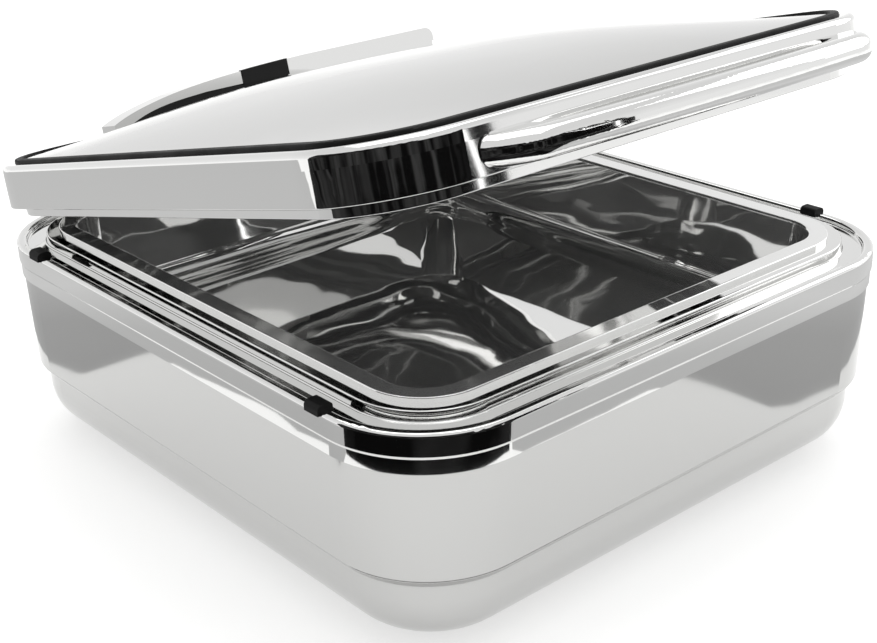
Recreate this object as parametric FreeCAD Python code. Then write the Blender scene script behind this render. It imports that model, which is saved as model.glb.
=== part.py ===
import FreeCAD, Part
import math
import os

# Chafing dish with a hinged lid, modelled with the lid open a little, the way
# it stands in the photograph. Millimetres, +Z up, the table at Z = 0, the
# origin under the middle of the body, the front (handle) side towards -Y.
V = FreeCAD.Vector

# Height of the food pan's rim above the table. Every body height below is
# written as a drop from this rim.
RIM_Z = 140.0

# The body is a rounded rectangle, a little deeper than it is wide. Each
# section is drawn at its half-width; on the front and the back it stands
# DEEPER further out. The corners turn about four vertical axes, so a wall at
# half-width h has a corner radius h - BODY_AXIS.
DEEPER = 17.2
BODY_AXIS = 135.5
BEAD_HALF = 198.4
BEAD_DROP = 5.5
SEAM_HALF = 195.0
SEAM_DROP = 88.8
WALL_TOP_HALF = 196.6
WALL_TOP_DROP = 28.2
FLOOR_DROP = 136.0
SHEET = 1.0
TRAY_SHEET = 1.2
PAN_SHEET = 0.9
DISC_R = 100.0
FOOT_HEIGHT = 4.0

# The lid, written as it lies when closed: heights count from its lower edge
# and its corners turn about axes at LID_AXIS.
LID_HALF = 195.0
LID_BACK = LID_HALF + DEEPER
LID_AXIS = 139.0
LID_LOW_Z = RIM_Z - 1.9
LID_SHEET = 1.2
BAND_HEIGHT = 26.9
REBATE_HEIGHT = 21.6
DOME_RISE = 22.3
GASKET_PROUD = 2.0
PANEL_HALF = 181.0
PANEL_SEAT = 26.2
PANEL_SHEET = 1.2

# The hinge: its pin lies just behind the back wall and below the rim, and the
# whole hinge group sits right of the middle, as in the photograph.
HINGE_X = 32.0
HINGE_Y = 245.7
HINGE_Z = 119.2
OPEN_ANGLE = 13.74
PIN_R = 5.0
EYE_R = 12.0
BARREL_R = 11.0
RUNNING_GAP = 0.05

# The bow handle along the lid's front edge.
HANDLE_X = 14.0
HANDLE_LOW = 2.4
HANDLE_HEIGHT = 16.0
HANDLE_REACH = 26.0
HANDLE_ROUND = 6.9
HANDLE_INNER_ROUND = 4.0
HANDLE_SCREW_X = 123.0

# The hood over the hinge, standing on the lid's back edge.
HOOD_FRONT_Y = LID_BACK - 9.0
HOOD_BACK_Y = LID_BACK + 10.0
HOOD_LEFT = HINGE_X - 127.0
HOOD_RIGHT = HINGE_X + 160.0
HOOD_LOW = 9.0
HOOD_STEP = 42.0
HOOD_TOP = 52.8
HOOD_SHEET = 1.6
HOOD_RECESS = 2.0
HOOD_END_LOW = 20.0
HOOD_CORNER = 16.0


def rounded_path(points):
    """Wire in the half-width / height plane through (h, z, radius) points."""
    edges = []
    start = V(points[0][0], 0, points[0][1])
    for i in range(1, len(points) - 1):
        here = V(points[i][0], 0, points[i][1])
        radius = points[i][2] if len(points[i]) > 2 else 0
        if radius == 0:
            edges.append(Part.makeLine(start, here))
            start = here
            continue
        back = (start - here).normalize()
        ahead = V(points[i + 1][0], 0, points[i + 1][1]) - here
        ahead.normalize()
        half_turn = math.acos(max(-1, min(1, back.dot(ahead)))) / 2
        reach = radius / math.tan(half_turn)
        first = here + back * reach
        last = here + ahead * reach
        bisector = (back + ahead).normalize()
        middle = here + bisector * (radius / math.sin(half_turn) - radius)
        if (first - start).Length > 1e-6:
            edges.append(Part.makeLine(start, first))
        edges.append(Part.Arc(first, middle, last).toShape())
        start = last
    end = V(points[-1][0], 0, points[-1][1])
    edges.append(Part.makeLine(start, end))
    return Part.Wire(edges)


def sheet_section(points, thickness):
    """Closed section of a pressed sheet whose outer face is the path."""
    wire = rounded_path(points)
    return wire.makeOffset2D(thickness, 0, True, True, False)


def closed_section(points):
    """Closed section with the given corners, rounded where a radius is given."""
    ring = list(points) + [points[0]]
    return Part.Face(Part.Wire(rounded_path(ring).Edges))


def sweep_round(section, axis):
    """Carry a section once round the rectangle, straights and corners."""
    pieces = []
    for quarter in range(4):
        on_side = quarter % 2 == 0
        run = axis + DEEPER if on_side else axis
        side = section.copy()
        side.translate(V(0, -run, 0))
        straight = side.extrude(V(0, 2 * run, 0))
        corner = section.copy()
        corner.translate(V(0, axis, 0))
        turn = corner.revolve(V(axis, axis, 0), V(0, 0, 1), 90)
        shift = DEEPER if quarter < 2 else -DEEPER
        for piece in (straight, turn):
            piece.rotate(V(0, 0, 0), V(0, 0, 1), 90 * quarter)
        turn.translate(V(0, shift, 0))
        if not on_side:
            straight.translate(V(0, shift, 0))
        pieces += [straight, turn]
    body = pieces[0].multiFuse(pieces[1:])
    return body.removeSplitter()


def round_plate(half, axis, low, high):
    """Solid rounded rectangle between two heights."""
    radius = half - axis
    arcs = []
    for i, (sx, sy) in enumerate([(1, 1), (-1, 1), (-1, -1), (1, -1)]):
        centre = V(sx * axis, sy * (axis + DEEPER), low)
        turns = [math.pi / 2 * i + math.pi / 4 * k for k in range(3)]
        a, b, c = [centre + V(radius * math.cos(t), radius * math.sin(t), 0) for t in turns]
        arcs.append(Part.Arc(a, b, c).toShape())
    edges = []
    for i in range(4):
        leave = arcs[i].Vertexes[-1].Point
        meet = arcs[(i + 1) % 4].Vertexes[0].Point
        edges += [arcs[i], Part.makeLine(leave, meet)]
    outline = Part.Wire(Part.__sortEdges__(edges))
    return Part.Face(outline).extrude(V(0, 0, high - low))


def solid_of(shape):
    """The single solid in a boolean result."""
    solids = shape.Solids
    return solids[0] if len(solids) == 1 else Part.makeCompound(solids)


def x_cylinder(radius, x_from, x_to, y, z):
    return Part.makeCylinder(radius, x_to - x_from, V(x_from, y, z), V(1, 0, 0))


def box(x0, x1, y0, y1, z0, z1):
    return Part.makeBox(x1 - x0, y1 - y0, z1 - z0, V(x0, y0, z0))


def drop(points):
    """Turn (half-width, drop below the rim, radius) into absolute heights."""
    return [(p[0], RIM_Z - p[1]) + tuple(p[2:]) for p in points]


# The body, from the table upwards.

def induction_disc():
    disc = Part.makeCylinder(DISC_R, FOOT_HEIGHT)
    lower = [e for e in disc.Edges if e.BoundBox.ZMax < 0.1]
    return disc.makeFillet(0.8, lower)


def foot_pads():
    pads = []
    for sx in (-1, 1):
        for sy in (-1, 1):
            centre = V(sx * 128, sy * (128 + DEEPER), 0)
            pads.append(Part.makeCylinder(9, FOOT_HEIGHT, centre))
    return Part.makeCompound(pads)


def base_tray():
    wall = sheet_section(drop([
        (157.3, FLOOR_DROP), (189.3, FLOOR_DROP, 31.0), (189.8, SEAM_DROP + 5.7, 2.5),
        (SEAM_HALF - 0.2, SEAM_DROP, 0.4), (185.0, SEAM_DROP)]), TRAY_SHEET)
    ring = sweep_round(wall, BODY_AXIS)
    low = RIM_Z - FLOOR_DROP
    floor = round_plate(157.5, BODY_AXIS, low, low + TRAY_SHEET)
    return solid_of(ring.fuse(floor).removeSplitter())


def body_shell():
    wall = sheet_section(drop([
        (185.0, SEAM_DROP), (SEAM_HALF, SEAM_DROP, 1.2), (WALL_TOP_HALF, WALL_TOP_DROP),
        (WALL_TOP_HALF, 22.0)]), SHEET)
    shell = sweep_round(wall, BODY_AXIS)
    return solid_of(shell.cut(bracket_screw_holes()))


def gutter_rim():
    """Collar, bead, drip gutter and the ledge that carries the food pan."""
    neck = WALL_TOP_HALF + SHEET
    inner = BEAD_HALF - 6.3
    section = sheet_section(drop([
        (neck, 27.4), (neck, 19.2, 0.8), (BEAD_HALF, 18.0, 0.6), (BEAD_HALF, BEAD_DROP, 2.6),
        (inner, BEAD_DROP, 2.4), (inner, 9.2, 1.2), (180.4, 9.2, 1.2), (179.6, 3.0, 1.0),
        (167.5, 3.0)]), SHEET)
    return solid_of(sweep_round(section, BODY_AXIS))


def water_pan():
    floor_drop = 131.3
    wall = sheet_section(drop([
        (177.6, 4.0), (164.5, 4.0, 2.2), (162.6, floor_drop, 21.5), (140.4, floor_drop)]), SHEET)
    ring = sweep_round(wall, BODY_AXIS)
    top = RIM_Z - floor_drop
    floor = round_plate(140.6, BODY_AXIS, top - SHEET, top)
    return solid_of(ring.fuse(floor).removeSplitter())


def food_pan():
    """Drop-in pan with a flat rim, a rounded lip and a deep rounded floor."""
    depth = 63.0
    wall = sheet_section(drop([
        (171.5, 3.0), (171.5, 0.0, 0.8), (160.0, 0.0, 1.9), (156.6, depth, 15.0),
        (141.2, depth)]), PAN_SHEET)
    ring = sweep_round(wall, BODY_AXIS)
    top = RIM_Z - depth
    floor = round_plate(141.4, BODY_AXIS, top - PAN_SHEET, top)
    return solid_of(ring.fuse(floor).removeSplitter())


def heat_spreader():
    low = RIM_Z - 134.8
    return Part.makeCylinder(95, 2.5, V(0, 0, low))


def lid_bumpers():
    """Four rubber clips over the rim bead that the closed lid lies on."""
    inner = BEAD_HALF - 6.3
    width = 11.0
    bead = closed_section(drop([
        (BEAD_HALF, 16.0), (BEAD_HALF, BEAD_DROP, 2.6), (inner, BEAD_DROP, 2.4), (inner, 12.0)]))
    clip = closed_section(drop([
        (BEAD_HALF + 1.2, 7.9, 0.6), (BEAD_HALF + 1.2, 2.4, 3.0), (inner - 1.8, 2.4, 2.2),
        (inner - 1.8, 7.4, 0.3), (195.0, 7.4), (195.0, 7.9)]))
    section = clip.cut(bead)
    clips = []
    for sy in (-1, 1):
        piece = section.copy()
        piece.translate(V(0, sy * 142.5 - width / 2, 0))
        right = solid_of(piece.extrude(V(0, width, 0)))
        clips += [right, right.mirror(V(0, 0, 0), V(1, 0, 0))]
    return Part.makeCompound(clips)


# The hinge, bolted to the back wall of the body.

BRACKET_LOW = RIM_Z - 82.0
BRACKET_HIGH = RIM_Z - 31.0
PLATE_FRONT = WALL_TOP_HALF + DEEPER + 0.4
PLATE_BACK = PLATE_FRONT + 3.4
CHEEK_INNER = 24.5
CHEEK_OUTER = 28.5
SCREW_SPOTS = [(HINGE_X + sx * 38, RIM_Z - d) for sx in (-1, 1) for d in (42.0, 70.0)]


def wall_y(z):
    """Outer face of the back wall at a height, on its slight draft."""
    draft = (WALL_TOP_HALF - SEAM_HALF) / (SEAM_DROP - WALL_TOP_DROP)
    return SEAM_HALF + DEEPER + (z - (RIM_Z - SEAM_DROP)) * draft


def y_cylinders(spots, radius, y0, y1):
    return [Part.makeCylinder(radius, y1 - y0, V(x, y0, z), V(0, 1, 0)) for x, z in spots]


def bracket_screw_holes():
    """Clearance holes through the wall, the pad, the plates and the bracket."""
    holes = y_cylinders(SCREW_SPOTS, 2.6, SEAM_HALF, PLATE_BACK + 8)
    return Part.makeCompound(holes)


def bracket_pad():
    corners = [V(0, wall_y(BRACKET_LOW), BRACKET_LOW), V(0, PLATE_FRONT, BRACKET_LOW),
               V(0, PLATE_FRONT, BRACKET_HIGH), V(0, wall_y(BRACKET_HIGH), BRACKET_HIGH)]
    face = Part.Face(Part.makePolygon(corners + [corners[0]]))
    face.translate(V(HINGE_X - 48, 0, 0))
    return solid_of(face.extrude(V(96, 0, 0)).cut(bracket_screw_holes()))


def eye_tangent(z, side):
    """Where a straight edge from the plate's back at height z meets the eye."""
    dy = HINGE_Y - PLATE_BACK
    dz = HINGE_Z - z
    span = math.hypot(dy, dz)
    angle = math.atan2(dz, dy) + side * math.asin(EYE_R / span)
    reach = math.sqrt(span * span - EYE_R * EYE_R)
    return PLATE_BACK + reach * math.cos(angle), z + reach * math.sin(angle)


def cheek(x0, x1):
    """Side plate from the bracket's back plate out to the pin."""
    low = BRACKET_LOW + 6
    high = BRACKET_HIGH
    under = eye_tangent(low, -1)
    over = eye_tangent(high, 1)
    ring = [V(x0, PLATE_BACK, low), V(x0, *under), V(x0, *over), V(x0, PLATE_BACK, high)]
    plate = Part.Face(Part.makePolygon(ring + [ring[0]])).extrude(V(x1 - x0, 0, 0))
    return plate.fuse(x_cylinder(EYE_R, x0, x1, HINGE_Y, HINGE_Z)).removeSplitter()


def hinge_bracket():
    plate = box(HINGE_X - 48, HINGE_X + 48, PLATE_FRONT, PLATE_BACK, BRACKET_LOW, BRACKET_HIGH)
    upright = [e for e in plate.Edges if abs(e.Vertexes[0].Y - e.Vertexes[-1].Y) > 1]
    plate = plate.makeFillet(6.0, upright)
    left = cheek(HINGE_X - CHEEK_OUTER, HINGE_X - CHEEK_INNER)
    right = cheek(HINGE_X + CHEEK_INNER, HINGE_X + CHEEK_OUTER)
    whole = plate.multiFuse([left, right])
    seats = x_cylinder(7.0, HINGE_X - 40, HINGE_X + 40, HINGE_Y, HINGE_Z)
    return solid_of(whole.cut(bracket_screw_holes().fuse(seats)).removeSplitter())


def hinge_bushes():
    """Flanged liners in the two bracket eyes."""
    bore = x_cylinder(PIN_R, HINGE_X - 60, HINGE_X + 60, HINGE_Y, HINGE_Z)
    bushes = []
    for side in (-1, 1):
        inner = HINGE_X + side * (CHEEK_INNER - 1.0)
        face = HINGE_X + side * CHEEK_INNER
        outer = HINGE_X + side * CHEEK_OUTER
        sleeve = x_cylinder(7.0, min(face, outer), max(face, outer), HINGE_Y, HINGE_Z)
        flange = x_cylinder(10.0, min(inner, face), max(inner, face), HINGE_Y, HINGE_Z)
        bushes.append(solid_of(sleeve.fuse(flange).cut(bore).removeSplitter()))
    return Part.makeCompound(bushes)


GROOVE_R = 3.9
GROOVE_X = HINGE_X + CHEEK_OUTER
CLIP_THICK = 1.2


def clip_ring(outer):
    """Disc in the pin's groove, open where the grooved core of the pin is."""
    ring = x_cylinder(outer, GROOVE_X, GROOVE_X + CLIP_THICK, HINGE_Y, HINGE_Z)
    return ring.cut(x_cylinder(GROOVE_R, GROOVE_X - 1, GROOVE_X + 3, HINGE_Y, HINGE_Z))


def hinge_pin():
    head_x = HINGE_X - CHEEK_OUTER
    shank = x_cylinder(PIN_R, head_x, GROOVE_X + 6.0, HINGE_Y, HINGE_Z)
    head = x_cylinder(8.0, head_x - 3.5, head_x, HINGE_Y, HINGE_Z)
    head = head.makeFillet(1.2, [e for e in head.Edges if e.BoundBox.XMax < head_x - 3.4])
    return solid_of(shank.fuse(head).cut(clip_ring(PIN_R + 1)).removeSplitter())


def pin_circlip():
    slot = box(GROOVE_X - 1, GROOVE_X + 3, HINGE_Y - 2.4, HINGE_Y + 2.4, HINGE_Z - 12, HINGE_Z)
    return solid_of(clip_ring(8.0).cut(slot))


BACKING_THICK = 3.0


def bracket_backing_plate():
    """Strip inside the back wall that the bracket's screws clamp against."""
    low = BRACKET_LOW + 4
    high = BRACKET_HIGH - 4
    faces = [wall_y(z) - SHEET - 0.01 for z in (low, high)]
    corners = [V(0, faces[0] - BACKING_THICK, low), V(0, faces[0], low),
               V(0, faces[1], high), V(0, faces[1] - BACKING_THICK, high)]
    face = Part.Face(Part.makePolygon(corners + [corners[0]]))
    face.translate(V(HINGE_X - 46, 0, 0))
    return solid_of(face.extrude(V(92, 0, 0)).cut(bracket_screw_holes()))


def hexagon(flat, x, y, z, length):
    """Hexagonal prism along +Y, `flat` from its axis to each flat."""
    radius = flat / math.cos(math.pi / 6)
    ring = []
    for i in range(7):
        angle = math.pi / 3 * i
        ring.append(V(x + radius * math.cos(angle), y, z + radius * math.sin(angle)))
    return Part.Face(Part.makePolygon(ring)).extrude(V(0, length, 0))


def socket_screw(x, z, shank_r, tip_y, seat_y, head_r, head_high):
    """Round-headed screw along +Y with a hexagon socket."""
    shank = Part.makeCylinder(shank_r, seat_y - tip_y, V(x, tip_y, z), V(0, 1, 0))
    head = Part.makeCylinder(head_r, head_high, V(x, seat_y, z), V(0, 1, 0))
    top = [e for e in head.Edges if e.BoundBox.YMin > seat_y + head_high - 0.1]
    head = head.makeFillet(0.55 * head_high, top)
    socket = hexagon(0.33 * head_r, x, seat_y + 0.42 * head_high, z, head_high)
    return solid_of(shank.fuse(head).cut(socket).removeSplitter())


def bracket_screws():
    tip = wall_y(BRACKET_LOW) - 11.0
    return Part.makeCompound([socket_screw(x, z, 2.5, tip, PLATE_BACK, 4.6, 2.8)
                              for x, z in SCREW_SPOTS])


def bracket_nuts():
    thick = 4.0
    nuts = []
    for x, z in SCREW_SPOTS:
        seat = wall_y(z) - SHEET - BACKING_THICK - 0.2
        nut = hexagon(4.0, x, seat - thick, z, thick)
        hole = Part.makeCylinder(2.5, 2 * thick, V(x, seat - 1.5 * thick, z), V(0, 1, 0))
        nuts.append(solid_of(nut.cut(hole)))
    return Part.makeCompound(nuts)


# The lid, modelled closed and then turned to the angle it stands at.

def lid_points(points):
    """Turn (half-width, height above the lid's lower edge, radius) into Z."""
    return [(p[0], LID_LOW_Z + p[1]) + tuple(p[2:]) for p in points]


def band_face():
    """Outer face of the lid's band, from the lower edge over the shoulder."""
    return [(LID_HALF, 0.0, 0.8), (LID_HALF - 0.3, 18.0, 0.5), (LID_HALF - 0.6, BAND_HEIGHT, 3.6)]


def lid_band_solid():
    """Everything inside the lid's outer skin, used to trim what meets it."""
    points = [(LID_AXIS, 0)] + band_face() + [(LID_AXIS, BAND_HEIGHT)]
    ring = sweep_round(closed_section(lid_points(points)), LID_AXIS)
    half_y = LID_AXIS + DEEPER
    core = box(-LID_AXIS, LID_AXIS, -half_y, half_y, LID_LOW_Z, LID_LOW_Z + BAND_HEIGHT)
    return ring.fuse(core)


def lid_frame():
    """Polished band, rounded shoulder, and the rebate that holds the panel."""
    points = [(LID_HALF - 7.6, 0.0)] + band_face()
    points += [(186.3, BAND_HEIGHT, 0.6), (186.1, REBATE_HEIGHT, 0.7), (174.5, REBATE_HEIGHT)]
    frame = sweep_round(sheet_section(lid_points(points), LID_SHEET), LID_AXIS)
    holes = y_cylinders(ARM_SPOTS, 2.1, LID_BACK - 15, LID_BACK + 5)
    holes += [handle_screw_line(side, 2.1, 20) for side in (-1, 1)]
    return solid_of(frame.cut(Part.makeCompound(holes)))


def lid_skirt():
    """Inner ring that drops into the gutter when the lid is shut."""
    section = sheet_section(lid_points([
        (192.8, LID_SHEET), (186.4, LID_SHEET, 0.4), (186.0, -6.5, 0.6), (183.6, -6.5)]), -0.9)
    return solid_of(sweep_round(section, LID_AXIS))


def panel_gasket():
    """Black seal that fills the rebate between the frame and the panel."""
    proud = BAND_HEIGHT + GASKET_PROUD
    section = closed_section(lid_points([
        (176.0, REBATE_HEIGHT), (186.0, REBATE_HEIGHT, 0.9), (186.0, proud, 1.2),
        (PANEL_HALF + 0.1, proud + 0.4, 0.7), (PANEL_HALF + 0.1, PANEL_SEAT), (176.0, PANEL_SEAT)]))
    return solid_of(sweep_round(section, LID_AXIS))


def dome_height(across, along):
    """Shallow crown; both arguments run from -1 to 1 between the edges."""
    return DOME_RISE * (1 - abs(across) ** 2.5) * (1 - abs(along) ** 2.5)


def lid_panel():
    """Domed sheet, cut to the rounded rectangle of the frame's rebate."""
    count = 17
    base = LID_LOW_Z + PANEL_SEAT + PANEL_SHEET
    grid = []
    for i in range(count):
        across = 2 * i / (count - 1) - 1
        row = []
        for j in range(count):
            along = 2 * j / (count - 1) - 1
            row.append(V(across * PANEL_HALF, along * (PANEL_HALF + DEEPER),
                         base + dome_height(across, along)))
        grid.append(row)
    surface = Part.BSplineSurface()
    surface.interpolate(grid)
    under = surface.toShape().extrude(V(0, 0, -40))
    lower = under.copy()
    lower.translate(V(0, 0, -PANEL_SHEET))
    trim = round_plate(PANEL_HALF, LID_AXIS, base - 60, base + 60)
    return solid_of(under.cut(lower).common(trim))


# The bow handle on the front of the lid.

HANDLE_MIDDLE_Z = LID_LOW_Z + HANDLE_LOW + HANDLE_HEIGHT / 2


def mirrored_curve(points):
    """Smooth plan curve through (x, y) points given for the left half only."""
    left = [V(HANDLE_X + x, y, 0) for x, y in points]
    right = [V(HANDLE_X - x, y, 0) for x, y in reversed(points[:-1])]
    curve = Part.BSplineCurve()
    curve.interpolate(left + right)
    return curve.toShape()


def handle_outer():
    """Plan curve of the bow's outer face, with a slanting root at each end."""
    reach = -LID_BACK - HANDLE_REACH
    return mirrored_curve([
        (-149, reach + 35.4), (-144, reach + 24.2), (-136, reach + 13.7), (-126, reach + 6.6),
        (-110, reach + 4.0), (-70, reach + 1.7), (0, reach)])


def handle_slot():
    """Finger gap between the bow and the frame, running to a point each end."""
    front = -LID_BACK
    inner = mirrored_curve([
        (-112, front - 0.6), (-98, front - 7.4), (-76, front - 10.8), (0, front - 12.4)])
    first = inner.Vertexes[0].Point
    last = inner.Vertexes[-1].Point
    corners = [last, V(last.x, front + 6, 0), V(first.x, front + 6, 0), first]
    edges = [inner] + [Part.makeLine(corners[i], corners[i + 1]) for i in range(3)]
    return Part.Face(Part.Wire(edges))


def handle_screw_line(side, radius, length):
    """Screw axis from inside the frame into each end of the bow."""
    start = V(HANDLE_X + side * HANDLE_SCREW_X, -LID_BACK + 10, HANDLE_MIDDLE_Z)
    return Part.makeCylinder(radius, length, start, V(0, -1, 0))


def front_handle():
    outer = handle_outer()
    first = outer.Vertexes[0].Point
    last = outer.Vertexes[-1].Point
    face = Part.Face(Part.Wire([outer, Part.makeLine(last, first)]))
    low = LID_LOW_Z + HANDLE_LOW
    face.translate(V(0, 0, low))
    bow = face.extrude(V(0, 0, HANDLE_HEIGHT))
    rims = [e for e in bow.Edges if len(e.Vertexes) > 1 and e.Curve.TypeId.endswith("BSplineCurve")]
    bow = bow.makeFillet(HANDLE_ROUND, rims)
    slot = handle_slot()
    slot.translate(V(0, 0, low - 5))
    gap = slot.extrude(V(0, 0, HANDLE_HEIGHT + 10))
    bow = solid_of(bow.cut(gap).cut(lid_band_solid()))
    inner_rims = []
    for e in bow.Edges:
        b = e.BoundBox
        if b.XLength > 190 and -LID_BACK - 13.7 < b.YMin and b.YMax < -LID_BACK - 0.3:
            inner_rims.append(e)
    bow = bow.makeFillet(HANDLE_INNER_ROUND, inner_rims)
    holes = Part.makeCompound([handle_screw_line(side, 2.0, 22) for side in (-1, 1)])
    return solid_of(bow.cut(holes))


def handle_screws():
    screws = []
    seat = -LID_BACK + LID_SHEET + 0.27
    for side in (-1, 1):
        x = HANDLE_X + side * HANDLE_SCREW_X
        start = V(x, seat, HANDLE_MIDDLE_Z)
        shank = Part.makeCylinder(2.0, 13.0, start, V(0, -1, 0))
        head = Part.makeCylinder(3.6, 2.4, start, V(0, 1, 0))
        screws.append(solid_of(shank.fuse(head).removeSplitter()))
    return Part.makeCompound(screws)


# The hinge hood and arm on the lid's back edge.

def hood_outline(y, inset):
    """Elevation of the hood: a long rising left side and a short right end."""
    low = LID_LOW_Z + HOOD_LOW
    left = HOOD_LEFT + inset
    right = HOOD_RIGHT - inset
    top = LID_LOW_Z + HOOD_TOP - inset
    crest = [V(left, y, top - 19.4), V(left + 8.6, y, top - 16.0), V(left + 29.6, y, top - 10.5),
             V(left + 50, y, top - 6.9), V(left + 72, y, top - 4.4), V(left + 115, y, top - 1.5),
             V(left + 162, y, top)]
    curve = Part.BSplineCurve()
    curve.interpolate(crest)
    round_r = 7.5 - inset
    bend = round_r * (1 - math.sqrt(0.5))
    arc = Part.Arc(V(right - round_r, y, top), V(right - bend, y, top - bend),
                   V(right, y, top - round_r)).toShape()
    ring = [curve.toShape(), Part.makeLine(crest[-1], V(right - round_r, y, top)), arc,
            Part.makeLine(V(right, y, top - round_r), V(right, y, low)),
            Part.makeLine(V(right, y, low), V(left, y, low)),
            Part.makeLine(V(left, y, low), crest[0])]
    return Part.Face(Part.Wire(ring))


def hood_recess():
    """Set-back part of the hood's front, below its proud bow."""
    y = HOOD_FRONT_Y - 1
    low = LID_LOW_Z + HOOD_LOW
    step = LID_LOW_Z + HOOD_STEP
    rise = [V(HOOD_LEFT + 7, y, step - 13.6), V(HOOD_LEFT + 28.5, y, step - 5.2),
            V(HOOD_LEFT + 50, y, step - 1.7), V(HOOD_LEFT + 76, y, step)]
    curve = Part.BSplineCurve()
    curve.interpolate(rise)
    right = HOOD_RIGHT + 1
    corners = [rise[-1], V(right, y, step), V(right, y, low), V(rise[0].x, y, low), rise[0]]
    edges = [curve.toShape()] + [Part.makeLine(corners[i], corners[i + 1]) for i in range(4)]
    return Part.Face(Part.Wire(edges)).extrude(V(0, 1 + HOOD_RECESS, 0))


def hood_block(inset):
    """The hood before it is hollowed, or its hollow; its back corners are round."""
    front = HOOD_FRONT_Y + (HOOD_RECESS + inset if inset else 0)
    whole = hood_outline(front, inset).extrude(V(0, HOOD_BACK_Y - inset - front, 0))
    plan = round_plate(LID_HALF + HOOD_CORNER - inset, LID_AXIS, LID_LOW_Z - 20, LID_LOW_Z + 80)
    return whole.common(plan)


def hood_outside():
    """The hood's outer form: a proud upper bow over a set-back wall."""
    return hood_block(0).cut(hood_recess())


def hood_ends_below():
    """Space under the hood's two ends, which stop short of the arm."""
    low = LID_LOW_Z + HOOD_LOW - 1
    high = LID_LOW_Z + HOOD_END_LOW
    left = box(HOOD_LEFT - 1, HINGE_X - 45, LID_BACK - 20, HOOD_BACK_Y + 1, low, high)
    right = box(HINGE_X + 45, HOOD_RIGHT + 1, LID_BACK - 20, HOOD_BACK_Y + 1, low, high)
    return left.fuse(right)


def hinge_hood():
    """Pressed cover over the arm's root: a proud upper bow on a set-back wall."""
    hollow = hood_block(HOOD_SHEET)
    low = LID_LOW_Z + HOOD_LOW
    mouth = hollow.common(box(-400, 400, 0, 400, low + 1, low + 4)).copy()
    mouth.translate(V(0, 0, -3))
    body = hood_outside().cut(hollow.fuse(mouth)).cut(lid_band_solid()).cut(hood_ends_below())
    return solid_of(body.removeSplitter())


def hinge_saddle_cap():
    """Black cap on the hood's middle, with a tongue along its set-back wall."""
    x0 = HINGE_X - 20.0
    x1 = HINGE_X + 20.0
    wall = 0.8
    step = LID_LOW_Z + HOOD_STEP
    low = LID_LOW_Z + BAND_HEIGHT + 0.9
    front = HOOD_FRONT_Y + HOOD_RECESS - wall
    grip = 3.0
    over = hood_outline(HOOD_FRONT_Y - wall, -0.4).extrude(V(0, grip + wall, 0))
    upper = over.common(box(x0, x1, 0, 400, step - wall, LID_LOW_Z + 80))
    lower = box(x0, x1, front, HOOD_FRONT_Y + grip, low, step)
    lip = 0.6
    tongue = hood_recess().common(box(HOOD_LEFT, x0 + 1, HOOD_FRONT_Y + lip, 400, low, step + 1))
    cap = upper.fuse(lower).cut(hood_outside()).fuse(tongue)
    return solid_of(cap.removeSplitter())


ARM_SPOTS = [(HINGE_X + dx, LID_LOW_Z + 11.5) for dx in (-11, 0, 11)]
ARM_PLATE_Y = LID_BACK + 3.0


def hinge_arm():
    """Two ribs, a web and a mounting plate that carry the lid to the barrel."""
    low = LID_LOW_Z
    plate = box(HINGE_X - 20, HINGE_X + 20, LID_BACK - 2, ARM_PLATE_Y, low + 1.0, low + 18.0)
    rib = [(LID_BACK + 1, low + 18), (LID_BACK + 1, low + 1), (LID_BACK + 9, low - 1),
           (HINGE_Y - 10.2, HINGE_Z - 3), (HINGE_Y + 3, HINGE_Z + 10.3),
           (LID_BACK + 12, low + 7.2), (LID_BACK + 7.4, low + 8.1), (LID_BACK + 4, low + 18)]
    web = [(LID_BACK + 2, low + 1.3), (LID_BACK + 8.8, low - 0.2), (HINGE_Y - 9, HINGE_Z + 2),
           (HINGE_Y - 7.4, HINGE_Z + 5.0), (LID_BACK + 10.2, low + 2.8), (LID_BACK + 2, low + 4.5)]
    pieces = []
    for outline, x0, wide in ((rib, -20, 4), (rib, 16, 4), (web, -17, 34)):
        ring = [V(HINGE_X + x0, y, z) for y, z in outline]
        pieces.append(Part.Face(Part.makePolygon(ring + [ring[0]])).extrude(V(wide, 0, 0)))
    arm = plate.multiFuse(pieces)
    arm = arm.cut(x_cylinder(BARREL_R, HINGE_X - 30, HINGE_X + 30, HINGE_Y, HINGE_Z))
    arm = arm.cut(lid_band_solid())
    holes = y_cylinders(ARM_SPOTS, 2.1, LID_BACK - 15, LID_BACK + 5)
    return solid_of(arm.cut(Part.makeCompound(holes)).removeSplitter())


def hinge_barrel():
    half = CHEEK_INNER - 1.4
    tube = x_cylinder(BARREL_R, HINGE_X - half, HINGE_X + half, HINGE_Y, HINGE_Z)
    bore = x_cylinder(PIN_R + RUNNING_GAP, HINGE_X - 40, HINGE_X + 40, HINGE_Y, HINGE_Z)
    return solid_of(tube.cut(bore))


def arm_backing_bar():
    """Bar inside the frame that the arm's screws pull against."""
    inner = LID_BACK - LID_SHEET
    low = LID_LOW_Z
    bar = box(HINGE_X - 22, HINGE_X + 22, inner - 3.5, inner, low + 2.2, low + 17.6)
    holes = y_cylinders(ARM_SPOTS, 2.1, LID_BACK - 15, LID_BACK + 5)
    return solid_of(bar.cut(lid_frame()).cut(Part.makeCompound(holes)))


def arm_screws():
    return Part.makeCompound([socket_screw(x, z, 2.0, LID_BACK - 6, ARM_PLATE_Y, 3.6, 2.4)
                              for x, z in ARM_SPOTS])


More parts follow.
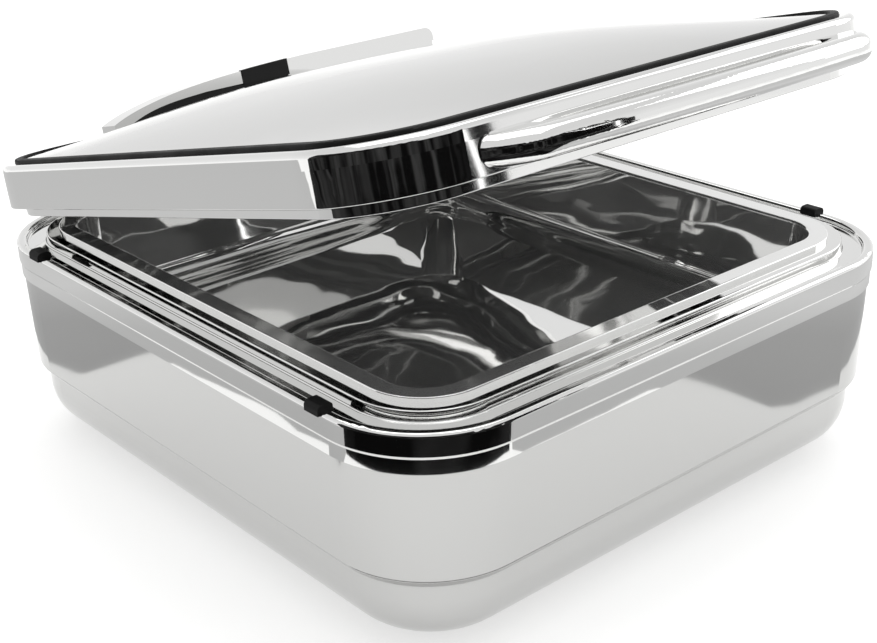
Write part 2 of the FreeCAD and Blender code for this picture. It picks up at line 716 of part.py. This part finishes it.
BODY_NODES = [induction_disc, foot_pads, base_tray, body_shell, gutter_rim, water_pan, food_pan,
              heat_spreader, lid_bumpers, bracket_pad, hinge_bracket, hinge_bushes, hinge_pin,
              pin_circlip, bracket_backing_plate, bracket_screws, bracket_nuts]
LID_NODES = [lid_frame, lid_skirt, panel_gasket, lid_panel, front_handle, handle_screws,
             hinge_hood, hinge_saddle_cap, hinge_arm, hinge_barrel, arm_backing_bar, arm_screws]


def save(name, shape):
    shape.exportStep("parts/" + name + ".step")
    extent = shape.BoundBox
    print(name, len(shape.Solids), shape.isValid(), round(shape.Volume / 1000, 1), "cm3",
          [round(v, 1) for v in (extent.XMin, extent.XMax, extent.YMin, extent.YMax,
                                 extent.ZMin, extent.ZMax)])


def main():
    os.makedirs("parts", exist_ok=True)
    for make in BODY_NODES:
        save(make.__name__, make())
    for make in LID_NODES:
        shape = make()
        shape.rotate(V(0, HINGE_Y, HINGE_Z), V(1, 0, 0), -OPEN_ANGLE)
        save(make.__name__, shape)


main()
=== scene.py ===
# %% [markdown]
# # A chafing dish in polished stainless steel
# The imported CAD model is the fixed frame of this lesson: every node keeps its
# shape and place, and the cells below give it its finish. The dish is almost
# all one material, stainless steel, so what tells its pieces apart is how each
# was polished, and what the room puts into the reflections.

import math

import bpy
import numpy as np
from mathutils import Matrix, Vector

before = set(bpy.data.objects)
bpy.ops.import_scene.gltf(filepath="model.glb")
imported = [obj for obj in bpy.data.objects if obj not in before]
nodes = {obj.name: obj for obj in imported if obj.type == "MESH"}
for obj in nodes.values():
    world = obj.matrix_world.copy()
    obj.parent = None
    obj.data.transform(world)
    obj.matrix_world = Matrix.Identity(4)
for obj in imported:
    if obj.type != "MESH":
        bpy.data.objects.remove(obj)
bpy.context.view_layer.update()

# %% [markdown]
# ## The camera
# The photograph looks down on the corner between the front and the left side.
# Its position and focal length were fitted to the straight edges of the body,
# so they are written here as numbers: where the camera stands, where it looks,
# how far it is rolled, and a lens for a 36 mm sensor.

# %% Camera
CAMERA_AT = Vector((-0.56366, -0.67064, 0.45793))
LOOKS_AT = Vector((-0.09576, -0.11650, 0.1400))
ROLL_DEGREES = -1.86
FOCAL_PIXELS = 1494.3
IMAGE_WIDTH = 877
SENSOR_MM = 36.0

camera_data = bpy.data.cameras.new("photo_camera")
camera_data.sensor_width = SENSOR_MM
camera_data.lens = FOCAL_PIXELS * SENSOR_MM / IMAGE_WIDTH
camera = bpy.data.objects.new("photo_camera", camera_data)
bpy.context.scene.collection.objects.link(camera)
forward = (LOOKS_AT - CAMERA_AT).normalized()
level_right = forward.cross(Vector((0, 0, 1))).normalized()
level_up = level_right.cross(forward)
roll = math.radians(ROLL_DEGREES)
right = math.cos(roll) * level_right + math.sin(roll) * level_up
up = math.cos(roll) * level_up - math.sin(roll) * level_right
turn = Matrix((right, up, -forward)).transposed().to_4x4()
camera.matrix_world = Matrix.Translation(CAMERA_AT) @ turn
bpy.context.scene.camera = camera
print("lens", round(camera_data.lens, 2), "mm")

# %% [markdown]
# ## Helpers for materials
# Colours are written as the sRGB hex values a painter would read off a screen,
# and one function turns them to the linear numbers that the shader wants. A
# pattern's size is written in millimetres, and a second function turns it to a
# texture scale. A third adds a node, sets it and links what feeds it.

# %% Colour, scale and node helpers
def linear(hex_colour):
    channels = [int(hex_colour[i:i + 2], 16) / 255 for i in (1, 3, 5)]
    return [c / 12.92 if c <= 0.04045 else ((c + 0.055) / 1.055) ** 2.4 for c in channels] + [1.0]


def scale_for(size_mm):
    return 1000 / size_mm


def add_node(tree, kind, settings=None, values=None, links=None):
    node = tree.nodes.new(kind)
    for name, value in (settings or {}).items():
        setattr(node, name, value)
    for socket, value in (values or {}).items():
        node.inputs[socket].default_value = value
    for socket, source in (links or {}).items():
        tree.links.new(source, node.inputs[socket])
    return node


def start_material(name):
    material = bpy.data.materials.new(name)
    material.use_nodes = True
    tree = material.node_tree
    shader = tree.nodes["Principled BSDF"]
    return material, tree, shader


# %% [markdown]
# ## Polished stainless steel
# Pressed stainless sheet is buffed with finer and finer wheels until it
# mirrors the room. Two things keep it from looking like a computer mirror: the
# sheet is never perfectly flat, so reflections swim a little over a few
# centimetres, and the last buffing wheel leaves hair-fine lines that scatter a
# bit of light. The first is a very low, wide bump and the second a fine noise
# that moves the roughness, with a wider one on it for the smudges of use.

# %% A function for a buffed sheet
GRAIN_MM = 0.6
SMUDGE_MM = 60


def buffed_steel(name, colour, roughness, swim_mm, swim_height_mm, haze, grain_mm=GRAIN_MM, metallic=1.0):
    material, tree, shader = start_material(name)
    place = add_node(tree, "ShaderNodeTexCoord").outputs["Object"]
    swim = add_node(tree, "ShaderNodeTexNoise", {},
                    {"Scale": scale_for(swim_mm), "Detail": 0.5, "Roughness": 0.4}, {"Vector": place})
    dent = add_node(tree, "ShaderNodeBump", {}, {"Strength": 1.0, "Distance": swim_height_mm / 1000},
                    {"Height": swim.outputs["Fac"]})
    grain = add_node(tree, "ShaderNodeTexNoise", {}, {"Scale": scale_for(grain_mm), "Detail": 3.0},
                     {"Vector": place})
    fine = add_node(tree, "ShaderNodeMapRange", {},
                    {"From Min": 0.3, "From Max": 0.7,
                     "To Min": roughness - haze, "To Max": roughness + haze},
                    {"Value": grain.outputs["Fac"]})
    smudge = add_node(tree, "ShaderNodeTexNoise", {},
                      {"Scale": scale_for(SMUDGE_MM), "Detail": 4.0, "Roughness": 0.65},
                      {"Vector": place})
    cloud = add_node(tree, "ShaderNodeMapRange", {},
                     {"From Min": 0.35, "From Max": 0.75, "To Min": 0.0, "To Max": haze},
                     {"Value": smudge.outputs["Fac"]})
    total = add_node(tree, "ShaderNodeMath", {"operation": "ADD"}, {},
                     {0: fine.outputs["Result"], 1: cloud.outputs["Result"]})
    shader.inputs["Base Color"].default_value = linear(colour)
    shader.inputs["Metallic"].default_value = metallic
    tree.links.new(total.outputs["Value"], shader.inputs["Roughness"])
    tree.links.new(dent.outputs["Normal"], shader.inputs["Normal"])
    return material


# %% [markdown]
# ## Six finishes of one steel
# The rims, the handle and the hood are mirror polished, and lose nothing of the
# room. The dome and the walls were drawn from bright sheet and polished less,
# which makes them rougher; their darker colour is painted shade for the dimmer
# room they mirror. The food pan's steel is brighter and has a small share of
# plain scatter, which is painted light for the light thrown from wall to wall
# inside it. What the guest never sees is satin, and the fasteners are as they
# come from the bar.

# %% The steels
mirror_steel = buffed_steel("mirror_polished_stainless", "#E6E6E5", roughness=0.030,
                            swim_mm=70, swim_height_mm=0.12, haze=0.010)
# The dome's and the walls' darker colours are painted shade for the dimmer room they mirror.
panel_steel_painted_shade = buffed_steel("dome_stainless_painted_shade", "#CBCBCA", roughness=0.06,
                           swim_mm=110, swim_height_mm=0.14, haze=0.015)
body_steel_painted_shade = buffed_steel("drawn_stainless_painted_shade", "#C2C2C1", roughness=0.08,
                          swim_mm=80, swim_height_mm=0.16, haze=0.015)
# The pan's near-white colour and its share of plain scatter are painted light for the light bounced
# inside it.
pan_steel_painted_light = buffed_steel("pan_stainless_painted_bounce_light", "#F2F2F1", roughness=0.024,
                         swim_mm=52, swim_height_mm=0.62, haze=0.008, metallic=0.88)
satin_steel = buffed_steel("satin_stainless", "#C9C9C8", roughness=0.30,
                           swim_mm=60, swim_height_mm=0.06, haze=0.04)
fastener_steel = buffed_steel("plain_bright_fastener_steel", "#BFBFBE", roughness=0.28,
                              swim_mm=20, swim_height_mm=0.02, haze=0.05, grain_mm=0.3)
steels = (mirror_steel, panel_steel_painted_shade, body_steel_painted_shade, pan_steel_painted_light, satin_steel, fastener_steel)
print("steels", [material.name for material in steels])

# %% [markdown]
# ## The induction disc
# The magnetic disc under the base is faced on a lathe, which leaves fine rings
# about its centre. Rings of that kind come from a wave texture set to rings,
# used as a low bump. That texture repeats every 2 pi / 20 of its own units, so
# its scale is that length over the pitch of the rings.

# %% Turned disc steel
RING_PITCH_MM = 1.2
RING_HEIGHT = 0.00004
WAVE_LENGTH = 2 * math.pi / 20

disc_steel, tree, shader = start_material("turned_magnetic_stainless")
place = add_node(tree, "ShaderNodeTexCoord").outputs["Object"]
rings = add_node(tree, "ShaderNodeTexWave", {"wave_type": "RINGS", "rings_direction": "Z"},
                 {"Scale": WAVE_LENGTH * scale_for(RING_PITCH_MM), "Distortion": 0.4, "Detail": 1.0},
                 {"Vector": place})
turning = add_node(tree, "ShaderNodeBump", {}, {"Strength": 0.5, "Distance": RING_HEIGHT},
                   {"Height": rings.outputs["Fac"]})
shader.inputs["Base Color"].default_value = linear("#A7A6A3")
shader.inputs["Metallic"].default_value = 1.0
shader.inputs["Roughness"].default_value = 0.34
tree.links.new(turning.outputs["Normal"], shader.inputs["Normal"])
print("rings every", RING_PITCH_MM, "mm")

# %% [markdown]
# ## Black silicone, black plastic, bronze and aluminium
# Moulded silicone is matt with a dusty, uneven surface; the plastic cap has a
# fine spark-eroded grain; the bushes are plain bearing bronze; and the heat
# spreader is bare rolled aluminium. Each gets a noise at the size of its own
# texture for the bump, and a wider one that moves its colour and roughness.

# %% The small materials
PATCH_MM = 18
WEAR = 0.06


def grained(name, colours, metallic, roughness, grain_mm, height_mm, shine=0.5):
    material, tree, shader = start_material(name)
    place = add_node(tree, "ShaderNodeTexCoord").outputs["Object"]
    grain = add_node(tree, "ShaderNodeTexNoise", {}, {"Scale": scale_for(grain_mm), "Detail": 2.0},
                     {"Vector": place})
    patch = add_node(tree, "ShaderNodeTexNoise", {}, {"Scale": scale_for(PATCH_MM), "Detail": 3.0},
                     {"Vector": place})
    mix = add_node(tree, "ShaderNodeMix", {"data_type": "RGBA"},
                   {6: linear(colours[0]), 7: linear(colours[1])}, {0: patch.outputs["Fac"]})
    worn = add_node(tree, "ShaderNodeMapRange", {},
                    {"From Min": 0.3, "From Max": 0.7,
                     "To Min": roughness - WEAR, "To Max": roughness + WEAR},
                    {"Value": patch.outputs["Fac"]})
    dent = add_node(tree, "ShaderNodeBump", {}, {"Strength": 0.6, "Distance": height_mm / 1000},
                    {"Height": grain.outputs["Fac"]})
    shader.inputs["Metallic"].default_value = metallic
    shader.inputs["Specular IOR Level"].default_value = shine
    tree.links.new(mix.outputs[2], shader.inputs["Base Color"])
    tree.links.new(worn.outputs["Result"], shader.inputs["Roughness"])
    tree.links.new(dent.outputs["Normal"], shader.inputs["Normal"])
    return material


silicone = grained("moulded_black_silicone", ("#070707", "#101010"), metallic=0.0,
                   roughness=0.55, grain_mm=0.5, height_mm=0.03, shine=0.18)
black_plastic = grained("grained_black_plastic", ("#060606", "#0C0C0C"), metallic=0.0,
                        roughness=0.35, grain_mm=0.4, height_mm=0.02, shine=0.25)
bronze = grained("bearing_bronze", ("#A8743C", "#8C5E30"), metallic=1.0,
                 roughness=0.35, grain_mm=0.4, height_mm=0.01)
aluminium = grained("rolled_aluminium", ("#C4C6C8", "#B4B6B8"), metallic=1.0,
                    roughness=0.38, grain_mm=0.6, height_mm=0.01)
small_materials = (silicone, black_plastic, bronze, aluminium)
print("small materials", [material.name for material in small_materials])

# %% [markdown]
# ## Dressing the nodes
# Each CAD node is dressed by what it is on the real dish: mirror for what the
# guest sees, drawn steel for the walls, satin for what the cook never touches.

# %% Materials onto nodes
finishes = {
    mirror_steel: ["gutter_rim", "lid_frame", "lid_skirt", "front_handle", "hinge_hood", "hinge_pin"],
    panel_steel_painted_shade: ["lid_panel"],
    body_steel_painted_shade: ["body_shell", "base_tray"],
    pan_steel_painted_light: ["food_pan"],
    satin_steel: ["water_pan", "hinge_bracket", "hinge_arm", "hinge_barrel",
                  "bracket_backing_plate", "arm_backing_bar"],
    fastener_steel: ["bracket_screws", "bracket_nuts", "arm_screws", "handle_screws", "pin_circlip"],
    disc_steel: ["induction_disc"],
    silicone: ["foot_pads", "lid_bumpers", "bracket_pad", "panel_gasket"],
    black_plastic: ["hinge_saddle_cap"],
    bronze: ["hinge_bushes"],
    aluminium: ["heat_spreader"],
}
for material, names in finishes.items():
    for name in names:
        nodes[name].data.materials.clear()
        nodes[name].data.materials.append(material)
print("dressed", sum(len(v) for v in finishes.values()), "of", len(nodes), "nodes")

# %% [markdown]
# ## The floor
# Polished metal shows only what stands around it, so the room matters more than
# the lamps. The photograph has a white sheet under the dish, a greyer floor
# beyond its wavy edge, a bright ceiling, and a dark side behind the camera that
# draws the black bands round the near corners. The floor that the camera sees
# glows a little, as a sheet of white acrylic lit from below does, so that the
# shadow round the foot of the dish stays pale. The standard view transform
# keeps white as white.

# %% View transform and a helper for stage pieces
bpy.context.scene.view_settings.view_transform = "Standard"


def stage_mesh(name, points, faces, material, seen=False):
    mesh = bpy.data.meshes.new(name)
    mesh.from_pydata(points, [], faces)
    mesh.materials.append(material)
    piece = bpy.data.objects.new(name, mesh)
    bpy.context.scene.collection.objects.link(piece)
    piece.visible_camera = seen
    piece.visible_diffuse = seen
    piece.visible_shadow = seen
    print(name, len(faces), "faces")


# %% Lit floor
FLOOR_HALF = 6.0
FLOOR_GLOW = 0.5

floor_material, tree, shader = start_material("lit_white_acrylic_floor")
place = add_node(tree, "ShaderNodeTexCoord").outputs["Object"]
mottle = add_node(tree, "ShaderNodeTexNoise", {}, {"Scale": 4.0, "Detail": 3.0}, {"Vector": place})
acrylic = add_node(tree, "ShaderNodeMix", {"data_type": "RGBA"},
                   {6: linear("#CFCFCE"), 7: linear("#CCCCCB")}, {0: mottle.outputs["Fac"]})
tree.links.new(acrylic.outputs[2], shader.inputs["Base Color"])
shader.inputs["Roughness"].default_value = 0.9
shader.inputs["Emission Color"].default_value = linear("#FFFFFF")
shader.inputs["Emission Strength"].default_value = FLOOR_GLOW
floor_corners = [(x * FLOOR_HALF, y * FLOOR_HALF, 0) for x, y in ((-1, -1), (1, -1), (1, 1), (-1, 1))]
stage_mesh("studio_floor", floor_corners, [(0, 1, 2, 3)], floor_material, seen=True)

# %% [markdown]
# ## Sky and soft lights
# The sky is a white world that falls off a little towards the zenith, which
# keeps the dome from burning out. A large soft light hangs over the dish and a
# smaller one stands on its right, and both stay out of the picture.

# %% World and soft lights
HORIZON, ZENITH, ZENITH_FROM = 1.0, 0.82, 0.6

world = bpy.data.worlds.new("white_room")
bpy.context.scene.world = world
world.use_nodes = True
tree = world.node_tree
heading = add_node(tree, "ShaderNodeTexCoord").outputs["Generated"]
rise = add_node(tree, "ShaderNodeSeparateXYZ", {}, {}, {"Vector": heading}).outputs["Z"]
sky = add_node(tree, "ShaderNodeMapRange", {},
               {"From Min": 0.0, "From Max": ZENITH_FROM, "To Min": HORIZON, "To Max": ZENITH},
               {"Value": rise})
tree.nodes["Background"].inputs["Color"].default_value = linear("#FFFFFF")
tree.links.new(sky.outputs["Result"], tree.nodes["Background"].inputs["Strength"])


def softbox(name, at, size, watts, towards=(0, 0, 0.1)):
    data = bpy.data.lights.new(name, "AREA")
    data.shape = "RECTANGLE"
    data.size, data.size_y = size
    data.energy = watts
    light = bpy.data.objects.new(name, data)
    light.location = at
    light.rotation_mode = "QUATERNION"
    light.rotation_quaternion = (Vector(towards) - Vector(at)).to_track_quat("-Z", "Y")
    bpy.context.scene.collection.objects.link(light)
    print(name, watts, "W")


softbox("overhead_softbox", (0.3, 0.3, 2.4), (2.4, 2.4), 26)
softbox("right_softbox", (2.2, -0.6, 1.2), (1.6, 1.6), 10)

# %% [markdown]
# ## The grey ground
# What follows is there for the reflections alone. The white sheet under the
# dish ends 5 to 15 cm from its walls, in a wavy line that can be followed in the
# lower half of both. The line is written as bearings, in degrees from the
# front towards the left, with the distance from the middle of the dish in
# metres, and straight runs join them. Beyond it the ground is grey. On the left
# of the near corner it stops short, and leaves a bright gap.

# %% Shape of the grey ground
SHEET_EDGE = [(-110, 0.38), (-52, 0.38), (-43, 0.37), (-40.5, 0.355), (-33.8, 0.328), (-30.7, 0.326),
              (-26.6, 0.361), (-23.6, 0.383), (-20.8, 0.391), (-13.9, 0.374), (-8, 0.366), (-2, 0.362),
              (4, 0.47), (80, 0.47), (84, 0.324), (100, 0.326), (105, 0.338), (112, 0.349),
              (118.8, 0.363), (123, 0.378), (126, 0.378), (130.3, 0.350), (132.7, 0.338),
              (138.6, 0.365), (145, 0.37), (178, 0.36)]
GROUND_RINGS = [1.0, 1.25, 1.6, 3.0]
GAP_FROM, GAP_TO = 84, 98
GAP_RINGS = [1.0, 1.2, 1.4, 1.42]
GROUND_STEPS = 240
GROUND_Z = 0.001


def on_floor(bearing, distance, height):
    angle = math.radians(bearing)
    return (-distance * math.sin(angle), -distance * math.cos(angle), height)


edge_bearings, edge_distances = zip(*SHEET_EDGE)
ground_points, ground_faces = [], []
for bearing in np.linspace(edge_bearings[0], edge_bearings[-1], GROUND_STEPS + 1):
    edge = float(np.interp(bearing, edge_bearings, edge_distances))
    ring_factors = GAP_RINGS if GAP_FROM < bearing < GAP_TO else GROUND_RINGS
    ground_points += [on_floor(bearing, edge * factor, GROUND_Z) for factor in ring_factors]
row = len(GROUND_RINGS)
for i in range(GROUND_STEPS):
    for k in range(row - 1):
        a = i * row + k
        ground_faces.append((a, a + 1, a + 1 + row, a + row))

# %% Finish of the grey ground
ground_material, tree, shader = start_material("grey_studio_ground")
place = add_node(tree, "ShaderNodeTexCoord").outputs["Object"]
reach = add_node(tree, "ShaderNodeVectorMath", {"operation": "LENGTH"}, {}, {0: place}).outputs["Value"]
tone = add_node(tree, "ShaderNodeValToRGB", {}, {}, {"Fac": reach})
ramp = tone.color_ramp
ramp.elements[0].position, ramp.elements[0].color = 0.43, linear("#BABABA")
ramp.elements[1].position, ramp.elements[1].color = 0.52, linear("#CCCCCC")
ramp.elements.new(0.70).color = linear("#C2C2C2")
tree.links.new(tone.outputs["Color"], shader.inputs["Base Color"])
shader.inputs["Roughness"].default_value = 1.0
shader.inputs["Specular IOR Level"].default_value = 0.0
stage_mesh("grey_ground", ground_points, ground_faces, ground_material)

# %% [markdown]
# ## The black cloth
# The black bands round the near corners are the dark room behind the camera.
# The cloth that stands in for it lies on the floor between two straight edges,
# which open outwards from the dish, and rises at its far end. Its near edge
# bulges away from the dish. The edges were placed where the bands end on the
# lid and on the rim, so that the flat walls beside the corners don't see it.

# %% Shape of the black cloth
CLOTH_RIGHT = [(-0.012, -0.383), (1.268, -1.798)]
CLOTH_LEFT = [(-0.379, -0.054), (-1.95, 0.97)]
CLOTH_ROWS = [0.0, 0.05, 0.12, 0.25, 0.5, 1.0]
CLOTH_STEPS = 60
CLOTH_HEIGHT = 1.1
CLOTH_BULGE = 0.075
CLOTH_Z = 0.002


def along(line, share):
    return [near + (far - near) * share for near, far in zip(*line)]


def bearing_of(point):
    return math.degrees(math.atan2(-point[0], -point[1]))


cloth_points, cloth_faces = [], []
for share in CLOTH_ROWS:
    right_end, left_end = along(CLOTH_RIGHT, share), along(CLOTH_LEFT, share)
    bearings = np.linspace(bearing_of(right_end), bearing_of(left_end), CLOTH_STEPS + 1)
    distances = np.linspace(math.hypot(*right_end), math.hypot(*left_end), CLOTH_STEPS + 1)
    bulges = CLOTH_BULGE * np.sin(np.linspace(0, math.pi, CLOTH_STEPS + 1))
    cloth_points += [on_floor(b, d, CLOTH_Z) for b, d in zip(bearings, distances + bulges)]
row = CLOTH_STEPS + 1
cloth_points += [(x, y, CLOTH_HEIGHT) for x, y, z in cloth_points[-row:]]
for k in range(len(CLOTH_ROWS)):
    for i in range(CLOTH_STEPS):
        a = k * row + i
        cloth_faces.append((a, a + 1, a + 1 + row, a + row))

# %% Finish of the cloth, with painted fold shade
cloth_material, tree, shader = start_material("matt_black_cloth")
place = add_node(tree, "ShaderNodeTexCoord").outputs["Object"]
# A noise paints the shade and light of folds onto the flat cloth.
painted_fold_shade = add_node(tree, "ShaderNodeTexNoise", {}, {"Scale": 3.0, "Detail": 2.0, "Distortion": 0.6},
                 {"Vector": place})
fold_shade_ramp = add_node(tree, "ShaderNodeValToRGB", {}, {}, {"Fac": painted_fold_shade.outputs["Fac"]})
ramp = fold_shade_ramp.color_ramp
ramp.elements[0].position, ramp.elements[0].color = 0.40, linear("#0B0B0B")
ramp.elements[1].position, ramp.elements[1].color = 0.68, linear("#3A3A3A")
tree.links.new(fold_shade_ramp.outputs["Color"], shader.inputs["Base Color"])
shader.inputs["Roughness"].default_value = 1.0
shader.inputs["Specular IOR Level"].default_value = 0.0
stage_mesh("black_cloth", cloth_points, cloth_faces, cloth_material)

# %% [markdown]
# ## A bright slit
# At the right end of the lid's black block the photograph has a thin white line
# and then more black, as a narrow gap between two dark curtains would give. A
# thin upright strip that glows, just in front of the cloth, does the same.

# %% Bright slit near the cloth's right end
SLIT_BEARINGS = (-33.5, -33.78)
SLIT_DISTANCE = 2.12
SLIT_HEIGHTS = (0.003, CLOTH_HEIGHT)
SLIT_GLOW = 1.1

slit_points = [on_floor(b, SLIT_DISTANCE, z) for z in SLIT_HEIGHTS for b in SLIT_BEARINGS]
slit_material, tree, shader = start_material("bright_window_slit")
shader.inputs["Emission Color"].default_value = linear("#FFFFFF")
shader.inputs["Emission Strength"].default_value = SLIT_GLOW
stage_mesh("bright_slit", slit_points, [(0, 1, 3, 2)], slit_material)
